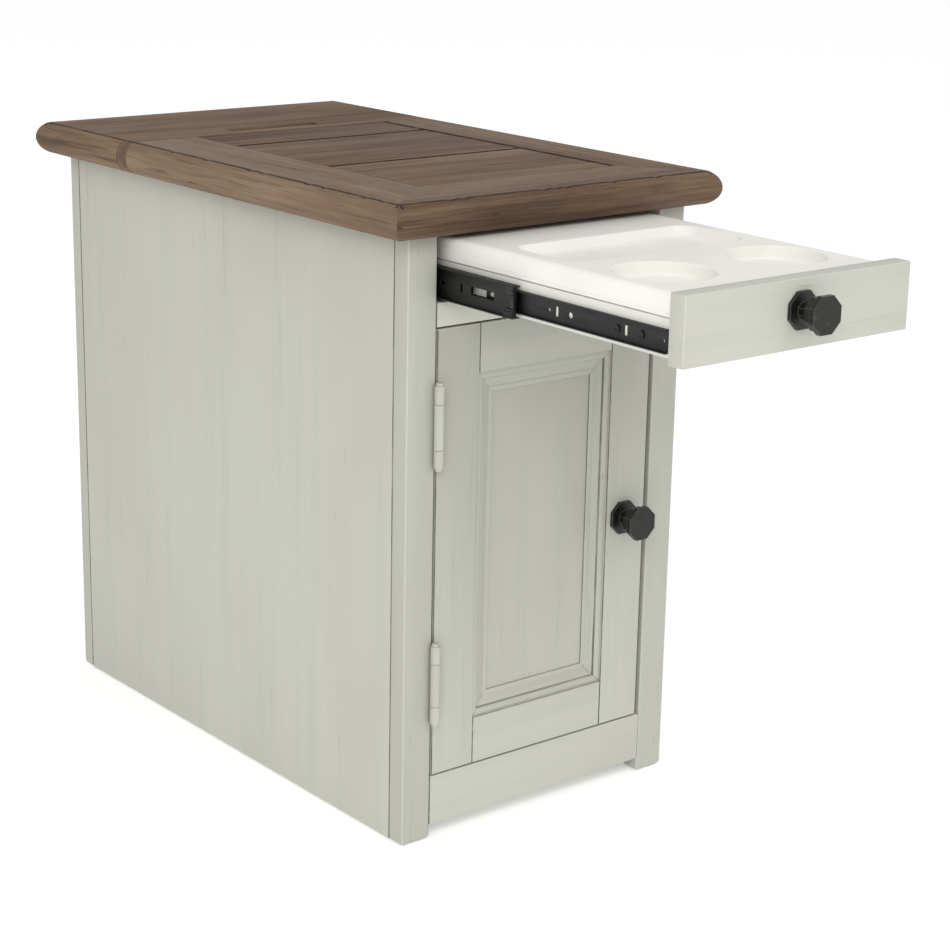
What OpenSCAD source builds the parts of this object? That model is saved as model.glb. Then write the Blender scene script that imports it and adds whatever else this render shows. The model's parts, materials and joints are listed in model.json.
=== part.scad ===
// Narrow side table: pull-out cup tray, one-door cupboard, rear flip-up lid.
// Millimetres. X runs left to right, the front faces -Y, Z is up.
// The origin is on the floor at the centre of the cabinet's footprint.
// The tray is drawn pulled out, the door and the lid closed.

/* [Cabinet] */
// width over the side panels
body_w = 342; // [310:1:420]
// depth over the posts
body_d = 616; // [580:1:720]
// height from the floor to the underside of the table top
body_h = 600; // [480:1:720]
// width of every post, seen from the front
post_w = 33; // [28:1:38]
// depth of the front posts
front_post_d = 21; // [20:1:26]
// depth of the back posts
back_post_d = 18; // [16:1:24]
// thickness of the side panels
side_t = 15; // [12:1:18]
// rounding of the feet
foot_r = 6; // [2:1:8]
// clearance between the floor and the bottom rail
apron_lift = 16; // [8:1:30]
// height of the bottom rail
apron_h = 50; // [35:1:70]
// thickness of the front rails
rail_t = 19; // [16:1:20]
// height of the rail between the tray and the door
mid_rail_h = 23; // [18:1:30]
// height of the opening the tray runs in
bay_h = 64; // [62:1:72]
// thickness of the cupboard floor and of the shelf
board_t = 15; // [12:1:18]
// height of the shelf top, as a share of the cupboard's height
shelf_at = 0.5; // [0.3:0.05:0.7]
// thickness of the dust panel under the tray
dust_t = 6; // [4:1:8]
// thickness of the back panel
back_t = 6; // [4:1:9]

/* [Table top] */
// thickness of the top
top_t = 33; // [28:1:38]
// overhang past the cabinet's sides
side_over = 30; // [20:1:36]
// overhang past the cabinet's front and back
end_over = 22; // [18:1:32]
// how far the rounded edge stands out
nose = 11; // [8:1:13]
// width of the left border board
border_l = 86; // [60:1:95]
// width of the right border board
border_r = 69; // [60:1:95]
// width of the front border board
border_f = 85; // [60:1:95]
// thickness of the planks
plank_t = 20; // [16:1:22]
// width of the back plank
plank_back_d = 77; // [60:1:90]
// width of the middle plank
plank_mid_d = 163; // [120:1:175]
// open joint between planks
plank_gap = 1.6; // [0.8:0.2:2.4]
// open joint at the right ends of the planks
end_gap = 2.4; // [1:0.2:3.6]
// easing of the planks' upper edges
arris = 2.4; // [0.6:0.2:3]
// width of the cross rail in front of the lid
cross_d = 19; // [15:1:24]

/* [Lid] */
// depth of the lid, front edge to back edge
lid_d = 173; // [150:1:190]
// length of the cable slot in the lid's front edge
slot_w = 115; // [80:1:150]
// depth of the cable slot
slot_d = 15; // [10:1:20]
// gap between the lid and the cross rail
lid_gap = 0.8; // [0.6:0.1:1.6]
// thickness of the wall in front of the charging well
well_wall_t = 12; // [10:1:15]

/* [Tray] */
// how far the tray is pulled out as drawn
tray_out = 322; // [150:1:340]
// height of the tray's front board
front_h = 61.5; // [58:0.5:62]
// thickness of the tray's front board
front_t = 18; // [15:1:20]
// gap at each end of the front board
front_gap = 2; // [1:0.5:3]
// thickness of the tray's side boards
box_t = 9; // [8:1:12]
// height of the tray's side boards
box_h = 34; // [30:1:36]
// height of the moulded insert's rim above the side boards
insert_h = 21.5; // [18:0.5:22]
// wall thickness of the moulded insert
insert_t = 2.5; // [2:0.5:3]
// radius of the cup holders
cup_r = 45; // [38:1:46]
// spacing of the cup holders
cup_pitch = 137; // [110:1:140]
// depth of the cup holders
cup_deep = 12; // [8:1:47]
// rounding of the insert's long upper edges
skirt_r = 4; // [2:0.5:9]
// length of the flat recess behind the cup holders, front to back
recess_d = 88; // [60:1:100]
// depth of the flat recess
recess_deep = 9; // [6:1:12]

/* [Slides] */
// thickness of one slide, cabinet to tray
slide_t = 12.7; // [12.5:0.1:13]
// height of the channel fixed in the cabinet
fixed_h = 35; // [34:1:37]
// height of the middle channel
mid_h = 29.6; // [28:0.2:30]
// height of the channel fixed to the tray
inner_h = 20.6; // [19:0.2:22]
// travel of the middle channels for each millimetre of the tray's travel
mid_ratio = 0.4037; // [0.38:0.0001:0.5]
// metal thickness of the channels
gauge = 1.2; // [1:0.1:1.4]

/* [Door] */
// thickness of the door
door_t = 19; // [18:1:20]
// gap at the hinge side
hinge_gap = 2; // [2:0.1:2.4]
// gap at the knob side
latch_gap = 6; // [2:0.1:7]
// gap above and below the door
door_gap = 2; // [1.5:0.1:3]
// width of the door's stiles
stile_w = 50.5; // [42:0.5:58]
// height of the door's rails
door_rail_h = 48; // [40:1:60]
// width of the moulding inside the door's frame
mould_w = 22; // [20:1:26]
// depth from the door's face to its panel
panel_in = 8; // [7:0.5:9]
// thickness of the door's panel
panel_t = 6; // [5:0.5:8]

/* [Hardware] */
// knob size across the flats of its octagon
knob_af = 33.5; // [28:0.5:38]
// how far the knobs stand out
knob_out = 30; // [26:1:36]
// distance of the door knob from the door's edge
knob_in = 28; // [22:0.5:32]
// radius of the door hinges' barrels
barrel_r = 4.7; // [4:0.1:5]
// length of the door hinges
hinge_l = 79; // [65:1:95]
// distance of the lower hinge from the foot of the door
hinge_low = 56; // [30:1:80]
// distance of the upper hinge from the head of the door
hinge_high = 52; // [30:1:80]
// radial clearance between a hinge pin and its knuckle
pin_clear = 0.05; // [0.02:0.01:0.1]
// radius of the hole for the charging block's cord
cord_r = 12; // [9:1:14]

/* [Hidden] */
eps = 0.01;
hw = body_w / 2;
yf = -body_d / 2;
yb = body_d / 2;
in_x = hw - side_t;
open_x = hw - post_w;
bay_z = body_h - bay_h;
mid_z = bay_z - mid_rail_h;
apron_z = apron_lift + apron_h;
floor_z = apron_z - 1;
dust_z = bay_z - 12;
panel_lift = 2;
back_set = 6;
shelf_set = 12;
shelf_air = 1;
cleat = 15;
cleat_h = 20;

// table top
tw = hw + side_over;
tf = yf - end_over;
tb = yb + end_over;
top_z = body_h + top_t;
nose_r = (nose * nose + top_t * top_t / 4) / (2 * nose);
lid_y = tb - lid_d;
cross_y = lid_y - lid_gap - cross_d;
field_x0 = -tw + border_l;
field_x1 = tw - border_r;
field_y0 = tf + border_f;
plank_y2 = cross_y - plank_gap / 2;
plank_y1 = cross_y - plank_back_d;
plank_y0 = plank_y1 - plank_mid_d;

// charging well
well_y0 = cross_y + 1 + well_wall_t;
well_z = dust_z;
back_rail_h = 66;
block_w = 150;
block_d = 42;
block_h = 34;
block_set = 6;
block_r = 5;
face_edge = 3;
face_t = 3;
outlet_xs = [-48, 8];
blade_dx = 6.4;
earth_r = 2.4;
port_x = 42;
port_ys = [-10, 5];
port_w = 13;
port_h = 3.6;
cord_z = body_h - 42;
grommet_wall = 2.8;
grommet_lip = 3.2;
grommet_lip_t = 2;
fit = 0.2;

// tray
front_y = yf - tray_out;
box_y = front_y + front_t;
tray_len = cross_y - yf - front_t - 27;
box_w = 2 * (open_x - slide_t);
front_z = bay_z + 1.5;
box_z = bay_z + 4;
rim_z = box_z + box_h;
insert_z = rim_z + insert_h;
insert_front = 1;
cup_y = box_y + 79;
recess_y1 = box_y + tray_len - 162;
recess_y0 = recess_y1 - recess_d;
cup_air = 0.3;
cup_x = min(cup_pitch / 2, box_w / 2 - box_t - cup_r - insert_t - cup_air);
recess_w = min(216, box_w - 30);
recess_r = 18;
edge_r = 1.2;
bottom_lift = 1;
bottom_t = 4;

// slides: heights are measured from the line through their middle
slide_z = bay_z + 18.5;
slide_len = tray_len - 10;
fixed_y = yf + front_t + 1;
mid_set = 7;
mid_y = yf + front_t + mid_set - tray_out * mid_ratio;
inner_y = box_y + 10;
fixed_depth = slide_t - 3.2;
mid_web = slide_t * 0.46;
mid_lo = 2.2;
mid_hi = slide_t - 2.1;
inner_depth = 4.6;
// windows in the middle channel: distance from its front end, length, height
mid_windows = [[30, 33, 7.5], [75, 3, 7], [slide_len - 70, 33, 7.5]];
mid_hole_y = 104;
mid_hole_r = 2.2;
stop_l = 13;
stop_h = 5;
stop_set = 0.6;
// round holes in the tray's channel: distance from its front end, radius
inner_holes = [[5, 1.2], [122, 2.8], [150, 1.6]];
// slots in the tray's channel: distance from its front end, length
inner_slots = [[49.5, 4], [138, 4], [215, 42]];
inner_slot_h = 9;
screw_ys = [32, 62, slide_len - 30];
screw_r = 3.4;
screw_h = 1.2;

// door
door_x0 = -open_x + hinge_gap;
door_x1 = open_x - latch_gap;
door_z0 = apron_z + door_gap;
door_z1 = mid_z - door_gap;
pan_x0 = door_x0 + stile_w;
pan_x1 = door_x1 - stile_w;
pan_z0 = door_z0 + door_rail_h;
pan_z1 = door_z1 - door_rail_h;
groove = 6;
barrel_air = 0.3;
pin_x = -open_x + hinge_gap / 2;
pin_y = yf - barrel_r - barrel_air;
pin_r = barrel_r * 0.52;
leaf_air = 0.1;
leaf_t = hinge_gap / 2 - leaf_air;
leaf_d = 17;
knuckle_air = 0.4;
knuckle_l = hinge_l * 0.22;
knuckle_foot = 1;
tip_l = 3;
tip_r = barrel_r * 0.72;
hinge_zs = [door_z0 + hinge_low, door_z1 - hinge_high - hinge_l];
shelf_z = floor_z + (mid_z - floor_z) * shelf_at;

// knobs: distances out from the board they stand on
plate_t = 3.5;
plate_cut = 2.6;
collar_y = knob_out * 0.55;
groove_y = knob_out * 0.77;
rim_y = knob_out * 0.81;
face_y = knob_out * 0.89;
door_knob_x = door_x1 - knob_in;
door_knob_z = (door_z0 + door_z1) / 2 - 1.5;

// strike plate and magnet catch, measured from the door's free edge
strike_in = 28;
strike_w = 24;
strike_h = 14;
strike_t = 1.2;
catch_w = 32;
catch_d = 12.2;
catch_h = 26;
catch_air = 0.6;

// lid hinge
lid_pin_y = yb + 3.2;
lid_pin_z = body_h - 3.5;
lid_barrel_r = 3;
lid_pin_r = 1.5;
lid_hinge_l = 50;
lid_leaf_t = 1.5;
lid_leaf_h = 16.5;
lid_leaf_d = 11;
lid_strap_t = 1.2;
lid_hinge_x = open_x * 0.55;

white = [0.78, 0.79, 0.76];
cream = [0.91, 0.91, 0.89];
brown = [0.46, 0.38, 0.32];
black = [0.06, 0.06, 0.06];
steel = [0.12, 0.12, 0.11];

// ---------- shared shapes ----------

// box from its low corner to its high corner
module span(a, b) {
  translate(a)
    cube([b[0] - a[0], b[1] - a[1], b[2] - a[2]]);
}

// outline of a rectangle with round corners, low corner at the origin
module round_rect(w, h, r) {
  translate([r, 0])
    square([w - 2 * r, h]);
  translate([0, r])
    square([w, h - 2 * r]);
  for (x = [r, w - r], y = [r, h - r])
    translate([x, y])
      circle(r = r, $fn = 48);
}

// outline standing on the ground with both lower corners rounded
module foot_outline(w, h, r) {
  round_rect(w, 3 * r, r);
  translate([0, 2 * r])
    square([w, h - 2 * r]);
}

module post(x, y, d) {
  intersection() {
    translate([x, y + d, 0])
      rotate([90, 0, 0])
        linear_extrude(d)
          foot_outline(post_w, body_h, foot_r);
    translate([x, y, 0])
      rotate([90, 0, 90])
        linear_extrude(post_w)
          foot_outline(d, body_h, foot_r);
  }
}

// ---------- cabinet ----------

module post_front_left() color(white) post(-hw, yf, front_post_d);
module post_front_right() color(white) post(open_x, yf, front_post_d);
module post_back_left() color(white) post(-hw, yb - back_post_d, back_post_d);
module post_back_right() color(white) post(open_x, yb - back_post_d, back_post_d);

module side_panel_left()
  color(white)
    span([-hw, yf + front_post_d, panel_lift], [-in_x, yb - back_post_d, body_h]);

module side_panel_right()
  color(white)
    span([in_x, yf + front_post_d, panel_lift], [hw, yb - back_post_d, body_h]);

module back_panel()
  color(white)
    span([-open_x, yb - back_set - back_t, apron_lift],
         [open_x, yb - back_set, body_h - back_rail_h]);

// rail behind the charging well, with the hole for the cord's grommet
module back_rail()
  color(white)
    difference() {
      span([-open_x, yb - back_post_d, body_h - back_rail_h], [open_x, yb, body_h]);
      translate([0, yb + 1, cord_z])
        rotate([90, 0, 0])
          cylinder(r = cord_r + grommet_wall + fit, h = back_post_d + 2, $fn = 64);
    }

module bottom_rail()
  color(white)
    span([-open_x, yf, apron_lift], [open_x, yf + rail_t, apron_z]);

module middle_rail()
  color(white)
    span([-open_x, yf, mid_z], [open_x, yf + rail_t, bay_z]);

module cupboard_floor()
  color(white)
    span([-in_x, yf + front_post_d, floor_z - board_t],
         [in_x, yb - back_post_d, floor_z]);

module shelf()
  color(white)
    span([-in_x + shelf_air, yf + front_post_d + shelf_set, shelf_z - board_t],
         [in_x - shelf_air, yb - back_post_d - 4, shelf_z]);

module shelf_cleats()
  color(white)
    for (s = [-1, 1])
      span([min(s * in_x, s * (in_x - cleat)), yf + front_post_d + shelf_set + 4,
            shelf_z - board_t - cleat],
           [max(s * in_x, s * (in_x - cleat)), yb - back_post_d - 8,
            shelf_z - board_t]);

module dust_panel()
  color(white)
    span([-in_x, yf + front_post_d, dust_z - dust_t],
         [in_x, yb - back_post_d, dust_z]);

module well_wall()
  color(white)
    span([-in_x, cross_y + 1, dust_z], [in_x, well_y0, body_h]);

// strips the table top is screwed to
module top_cleats()
  color(white)
    for (x = [-in_x, open_x])
      span([x, yf + front_post_d, body_h - cleat_h],
           [x + post_w - side_t, cross_y + 1, body_h]);

// strips that bring the slides flush with the posts
module slide_spacers()
  color(white)
    for (x = [-in_x, open_x])
      span([x, yf + front_post_d, dust_z],
           [x + post_w - side_t, cross_y + 1, slide_z + fixed_h / 2 + 2]);

// ---------- table top ----------

// outline of the top seen along one edge pair: flat faces and rounded noses
module nose_outline(half, lo_round, hi_round) {
  lo = lo_round ? -half + nose : -half;
  hi = hi_round ? half - nose : half;
  translate([lo, 0])
    square([hi - lo, top_t]);
  intersection() {
    translate([-half, 0])
      square([2 * half, top_t]);
    union() {
      if (lo_round)
        translate([-half + nose_r, top_t / 2])
          circle(r = nose_r, $fn = 96);
      if (hi_round)
        translate([half - nose_r, top_t / 2])
          circle(r = nose_r, $fn = 96);
    }
  }
}

// the whole top as one block with a rounded edge all round
module top_blank()
  intersection() {
    translate([0, tb, body_h])
      rotate([90, 0, 0])
        linear_extrude(tb - tf)
          nose_outline(tw, true, true);
    translate([-tw, (tf + tb) / 2, body_h])
      rotate([90, 0, 90])
        linear_extrude(2 * tw)
          nose_outline((tb - tf) / 2, true, true);
  }

// one board of the top, cut from the block by its plan outline
module top_board(plan)
  intersection() {
    top_blank();
    translate([0, 0, body_h - 1])
      linear_extrude(top_t + 2)
        polygon(plan);
  }

module border_left()
  color(brown)
    top_board([[-tw - 1, tf - 1], [-tw + nose, tf + nose], [field_x0, field_y0],
               [field_x0, cross_y], [-tw - 1, cross_y]]);

// wedge that eases an upper edge running front to back
module arris_cut(x, y0, y1)
  translate([x, y1, top_z])
    rotate([90, 0, 0])
      linear_extrude(y1 - y0)
        polygon([[-arris, 0], [0, -arris], [arris, 0], [0, arris]]);

module border_right()
  color(brown)
    difference() {
      top_board([[tw + 1, tf - 1], [tw + 1, cross_y], [field_x1, cross_y],
                 [field_x1, field_y0], [tw - nose, tf + nose]]);
      arris_cut(field_x1, field_y0, cross_y + 1);
    }

module border_front()
  color(brown)
    top_board([[-tw - 1, tf - 1], [tw + 1, tf - 1], [tw - nose, tf + nose],
               [field_x1, field_y0], [field_x0, field_y0], [-tw + nose, tf + nose]]);

module cross_rail()
  color(brown)
    top_board([[-tw - 1, cross_y], [tw + 1, cross_y],
               [tw + 1, cross_y + cross_d], [-tw - 1, cross_y + cross_d]]);

module top_panel()
  color(brown)
    span([field_x0, field_y0, body_h], [field_x1, cross_y, top_z - plank_t]);

// plank lying across the top, its right end and back edge eased; ease is for the front edge
module plank(y0, y1, ease)
  color(brown)
    difference() {
      translate([field_x0, 0, top_z - plank_t])
        rotate([90, 0, 90])
          linear_extrude(field_x1 - field_x0 - end_gap)
            polygon([[y0, 0], [y1, 0], [y1, plank_t - arris], [y1 - arris, plank_t],
                     [y0 + ease, plank_t], [y0, plank_t - ease]]);
      arris_cut(field_x1 - end_gap, y0 - 1, y1 + 1);
    }

module plank_back() plank(plank_y1 + plank_gap / 2, plank_y2, arris);
module plank_middle() plank(plank_y0 + plank_gap / 2, plank_y1 - plank_gap / 2, arris);
module plank_front() plank(field_y0, plank_y0 - plank_gap / 2, 0);

// ---------- slides ----------

// channel lying along Y; web against x = 0, flanges toward +X
module channel(h, depth, len) {
  span([0, 0, -h / 2], [gauge, len, h / 2]);
  for (z = [-h / 2, h / 2 - gauge])
    span([0, 0, z], [depth, len, z + gauge]);
}

// place a left-hand shape on the left or the right of the tray bay
module on_side(left)
  if (left)
    children();
  else
    mirror([1, 0, 0])
      children();

module fixed_slide(left)
  color(steel)
    on_side(left)
      translate([-open_x, fixed_y, slide_z])
        channel(fixed_h, fixed_depth, slide_len);

// middle channel: a web with a flange to each side, windows and an end stop
module mid_slide(left)
  color(steel)
    on_side(left)
      translate([-open_x, mid_y, slide_z]) {
        difference() {
          union() {
            span([mid_web, 0, -mid_h / 2], [mid_web + gauge, slide_len, mid_h / 2]);
            for (z = [-mid_h / 2, mid_h / 2 - gauge])
              span([mid_lo, 0, z], [mid_hi, slide_len, z + gauge]);
          }
          for (w = mid_windows)
            span([mid_web - 1, w[0], -w[2] / 2],
                 [mid_web + gauge + 1, w[0] + w[1], w[2] / 2]);
          translate([mid_web - 1, mid_hole_y, 0])
            rotate([0, 90, 0])
              cylinder(r = mid_hole_r, h = gauge + 2, $fn = 32);
        }
        for (z = [-mid_h / 2 + gauge, mid_h / 2 - gauge - stop_h])
          span([mid_lo + stop_set, stop_set, z], [mid_web, stop_l, z + stop_h]);
      }

// channel screwed to the tray's side; web outermost from the cabinet
module tray_slide(left)
  color(steel)
    on_side(left)
      translate([-open_x + slide_t, inner_y, slide_z])
        difference() {
          mirror([1, 0, 0])
            channel(inner_h, inner_depth, slide_len);
          for (h = inner_holes)
            translate([-gauge - 1, h[0], 0])
              rotate([0, 90, 0])
                cylinder(r = h[1], h = gauge + 2, $fn = 32);
          for (s = inner_slots)
            span([-gauge - 1, s[0], -inner_slot_h / 2], [1, s[0] + s[1], inner_slot_h / 2]);
        }

module fixed_slide_left() fixed_slide(true);
module fixed_slide_right() fixed_slide(false);
module mid_slide_left() mid_slide(true);
module mid_slide_right() mid_slide(false);
module tray_slide_left() tray_slide(true);
module tray_slide_right() tray_slide(false);

// flat screw heads on the channels fixed to the tray
module slide_screws()
  color(black)
    for (left = [true, false])
      on_side(left)
        for (y = screw_ys)
          translate([-open_x + slide_t - gauge - screw_h, inner_y + y, slide_z])
            rotate([0, 90, 0])
              cylinder(r = screw_r, h = screw_h, $fn = 32);

// ---------- tray ----------

module tray_front()
  color(white)
    translate([-open_x + front_gap, box_y, front_z])
      rotate([90, 0, 0])
        linear_extrude(front_t)
          round_rect(2 * (open_x - front_gap), front_h, edge_r);

module tray_side_left()
  color(cream)
    span([-box_w / 2, box_y, box_z], [-box_w / 2 + box_t, box_y + tray_len, rim_z]);

module tray_side_right()
  color(cream)
    span([box_w / 2 - box_t, box_y, box_z], [box_w / 2, box_y + tray_len, rim_z]);

module tray_back()
  color(cream)
    span([-box_w / 2 + box_t, box_y + tray_len - box_t, box_z],
         [box_w / 2 - box_t, box_y + tray_len, rim_z]);

module tray_bottom()
  color(cream)
    span([-box_w / 2 + box_t, box_y, box_z + bottom_lift],
         [box_w / 2 - box_t, box_y + tray_len - box_t, box_z + bottom_lift + bottom_t]);

// moulded insert: rim, two cups and a flat recess
module tray_insert() {
  y0 = box_y + insert_front;
  len = tray_len - insert_front;
  t = insert_t;
  color(cream)
    difference() {
      union() {
        difference() {
          translate([-box_w / 2, y0, rim_z])
            insert_block(box_w, len, insert_h, skirt_r);
          translate([-box_w / 2 + t, y0 + t, rim_z - 1])
            span([0, 0, 0], [box_w - 2 * t, len - 2 * t, insert_h - t + 1]);
        }
        for (x = [-cup_x, cup_x])
          translate([x, cup_y, insert_z - cup_deep - t])
            cylinder(r = cup_r + t, h = cup_deep + t - 1, $fn = 96);
        translate([-recess_w / 2 - t, recess_y0 - t, insert_z - recess_deep - t])
          linear_extrude(recess_deep + t - 1)
            round_rect(recess_w + 2 * t, recess_d + 2 * t, recess_r + t);
      }
      for (x = [-cup_x, cup_x])
        translate([x, cup_y, insert_z - cup_deep])
          cylinder(r = cup_r, h = cup_deep + 1, $fn = 96);
      translate([-recess_w / 2, recess_y0, insert_z - recess_deep])
        linear_extrude(recess_deep + 1)
          round_rect(recess_w, recess_d, recess_r);
    }
}

// block whose two long upper edges are rounded
module insert_block(w, len, h, r)
  translate([0, len, 0])
    rotate([90, 0, 0])
      linear_extrude(len) {
        square([w, h - r]);
        translate([r, 0])
          square([w - 2 * r, h]);
        for (x = [r, w - r])
          translate([x, h - r])
            circle(r = r, $fn = 48);
      }

// ---------- knobs ----------

// eight-sided prism along -Y, flats level
module octagon(af, y0, y1)
  translate([0, -y0, 0])
    rotate([90, 0, 0])
      rotate([0, 0, 22.5])
        cylinder(r = af / 2 / cos(22.5), h = y1 - y0, $fn = 8);

// eight-sided prism with its front edge cut back by c at each flat
module bevelled_octagon(af, y0, y1, c, out)
  difference() {
    octagon(af, y0, y1);
    for (i = [0 : 7])
      rotate([0, i * 45, 0])
        translate([0, -y1, af / 2 - c])
          rotate([atan2(out, c), 0, 0])
            translate([-af, -af, 0])
              cube([2 * af, af, af]);
  }

// wall plate, slim neck, collar, groove and an eight-sided face rising to a point
module knob() {
  bevelled_octagon(knob_af, 0, plate_t, plate_cut, plate_cut / 2);
  octagon(knob_af * 0.46, plate_t - eps, collar_y + eps);
  octagon(knob_af * 0.66, collar_y - 2, collar_y + eps);
  octagon(knob_af * 0.86, collar_y, groove_y);
  octagon(knob_af * 0.78, groove_y - eps, rim_y + eps);
  octagon(knob_af, rim_y, face_y);
  bevelled_octagon(knob_af, face_y - eps, knob_out, knob_af * 0.49, knob_out - face_y);
}

module tray_knob()
  color(black)
    translate([0, front_y, front_z + front_h * 0.555])
      knob();

module door_knob()
  color(black)
    translate([door_knob_x, yf, door_knob_z])
      knob();

// ---------- door ----------

// door boards with a groove for the panel
module door_board(a, b)
  color(white)
    difference() {
      span(a, b);
      span([pan_x0 - groove, yf + panel_in, pan_z0 - groove],
           [pan_x1 + groove, yf + panel_in + panel_t, pan_z1 + groove]);
    }

module door_stile_left()
  door_board([door_x0, yf, door_z0], [pan_x0, yf + door_t, door_z1]);

module door_stile_right()
  door_board([pan_x1, yf, door_z0], [door_x1, yf + door_t, door_z1]);

module door_rail_top()
  door_board([pan_x0, yf, pan_z1], [pan_x1, yf + door_t, door_z1]);

module door_rail_bottom()
  door_board([pan_x0, yf, door_z0], [pan_x1, yf + door_t, pan_z0]);

module door_panel()
  color(white)
    span([pan_x0 - groove, yf + panel_in, pan_z0 - groove],
         [pan_x1 + groove, yf + panel_in + panel_t, pan_z1 + groove]);

// stepped profile: a bead beside the frame, then a hollow down to the panel
module mould_outline() {
  bead = 4;
  step = 2.4;
  translate([0, step])
    square([bead, panel_in - step]);
  intersection() {
    translate([bead, step + bead])
      circle(r = bead, $fn = 48);
    translate([0, step])
      square([2 * bead, panel_in - step]);
  }
  difference() {
    translate([bead, panel_in - 3])
      square([mould_w - bead - 4, 3]);
    translate([mould_w - 4, panel_in - 9.6])
      circle(r = 9, $fn = 64);
  }
  translate([mould_w - 5, panel_in - 1])
    square([5, 1]);
}

// one straight length, its ends mitred, running up from its lower left corner
module mould_bar(len)
  intersection() {
    linear_extrude(len)
      mould_outline();
    translate([0, panel_in + 1, 0])
      rotate([90, 0, 0])
        linear_extrude(panel_in + 2)
          polygon([[0, 0], [mould_w + 1, mould_w + 1],
                   [mould_w + 1, len - mould_w - 1], [0, len]]);
  }

module moulding_sides()
  color(white) {
    translate([pan_x0, yf, pan_z0])
      mould_bar(pan_z1 - pan_z0);
    translate([pan_x1, yf, pan_z0])
      mirror([1, 0, 0])
        mould_bar(pan_z1 - pan_z0);
  }

module moulding_ends()
  color(white) {
    translate([pan_x0, yf, pan_z1])
      rotate([0, 90, 0])
        mould_bar(pan_x1 - pan_x0);
    translate([pan_x1, yf, pan_z0])
      rotate([0, -90, 0])
        mould_bar(pan_x1 - pan_x0);
  }

module strike_plate()
  color(steel)
    span([door_x1 - strike_in - strike_w, yf + door_t, door_z1 - strike_h - 8],
         [door_x1 - strike_in, yf + door_t + strike_t, door_z1 - 8]);

// magnet block under the rail above the door
module door_catch()
  color(cream)
    translate([door_x1 - strike_in - (strike_w + catch_w) / 2,
               yf + door_t + strike_t + catch_air, mid_z - catch_h])
      cube([catch_w, catch_d, catch_h]);

// ---------- hinges ----------

// upright knuckle with a bore; b is 0 for a solid one
module knuckle(r, b, z0, z1)
  difference() {
    translate([0, 0, z0])
      cylinder(r = r, h = z1 - z0, $fn = 48);
    if (b > 0)
      translate([0, 0, z0 - 1])
        cylinder(r = b, h = z1 - z0 + 2, $fn = 48);
  }

// leaf on the post with its two end knuckles, the pin and its tips
module fixed_hinge_half() {
  air = barrel_r + barrel_air;
  k = knuckle_l;
  l = hinge_l;
  knuckle(barrel_r, 0, 0, k);
  knuckle(barrel_r, 0, l - k, l);
  knuckle(pin_r, 0, k - knuckle_foot, l - k + knuckle_foot);
  knuckle(tip_r, 0, -tip_l, 0);
  knuckle(tip_r, 0, l, l + tip_l);
  span([-leaf_air - leaf_t, air, 0], [-leaf_air, air + leaf_d, l]);
  for (z = [0, l - k])
    span([-leaf_air - leaf_t, 0, z], [-leaf_air, air + eps, z + k]);
}

// leaf on the door with the middle knuckle
module moving_hinge_half() {
  air = barrel_r + barrel_air;
  z0 = knuckle_l + knuckle_air;
  z1 = hinge_l - knuckle_l - knuckle_air;
  knuckle(barrel_r, pin_r + pin_clear, z0, z1);
  span([leaf_air, air, 0], [leaf_air + leaf_t, air + leaf_d, hinge_l]);
  span([leaf_air, pin_r + 1, z0], [leaf_air + leaf_t, air + eps, z1]);
}

module door_hinge_fixed()
  color(white)
    for (z = hinge_zs)
      translate([pin_x, pin_y, z])
        fixed_hinge_half();

module door_hinge_moving()
  color(white)
    for (z = hinge_zs)
      translate([pin_x, pin_y, z])
        moving_hinge_half();

// turn an upright hinge so its pin lies along X, centred, leaf toward +Z
module along_x(l)
  translate([-l / 2, 0, 0])
    rotate([0, 90, 0])
      children();

module lid_hinge_fixed()
  color(steel)
    for (s = [-1, 1])
      translate([s * lid_hinge_x, lid_pin_y, lid_pin_z]) {
        k = lid_hinge_l / 4;
        along_x(lid_hinge_l) {
          knuckle(lid_barrel_r, 0, 0, k);
          knuckle(lid_barrel_r, 0, lid_hinge_l - k, lid_hinge_l);
          knuckle(lid_pin_r, 0, k - 1, lid_hinge_l - k + 1);
        }
        span([-lid_hinge_l / 2, yb - lid_pin_y, -lid_barrel_r - knuckle_air - lid_leaf_h],
             [lid_hinge_l / 2, yb - lid_pin_y + lid_strap_t, -lid_barrel_r - knuckle_air]);
        for (x = [-lid_hinge_l / 2, lid_hinge_l / 2 - k])
          span([x, yb - lid_pin_y, -lid_barrel_r - 1],
               [x + k, yb - lid_pin_y + lid_strap_t, 0]);
      }

module lid_hinge_moving()
  color(steel)
    for (s = [-1, 1])
      translate([s * lid_hinge_x, lid_pin_y, lid_pin_z]) {
        k = lid_hinge_l / 4 + knuckle_air;
        along_x(lid_hinge_l)
          knuckle(lid_barrel_r, lid_pin_r + pin_clear, k, lid_hinge_l - k);
        span([-lid_hinge_l / 2 + k, 0, lid_pin_r + 0.6],
             [lid_hinge_l / 2 - k, 4, body_h - lid_pin_z]);
        span([-lid_hinge_l / 2, 4, body_h - lid_pin_z - lid_leaf_t],
             [lid_hinge_l / 2, 4 + lid_leaf_d, body_h - lid_pin_z]);
      }

// ---------- lid and charging well ----------

module lid_board()
  color(brown)
    difference() {
      top_board([[-tw - 1, lid_y], [tw + 1, lid_y], [tw + 1, tb + 1], [-tw - 1, tb + 1]]);
      span([-slot_w / 2, lid_y - 1, body_h - 1], [slot_w / 2, lid_y + slot_d, top_z + 1]);
    }

module charging_block()
  color(black)
    translate([-block_w / 2, well_y0 + block_set, well_z])
      linear_extrude(block_h)
        round_rect(block_w, block_d, block_r);

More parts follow.
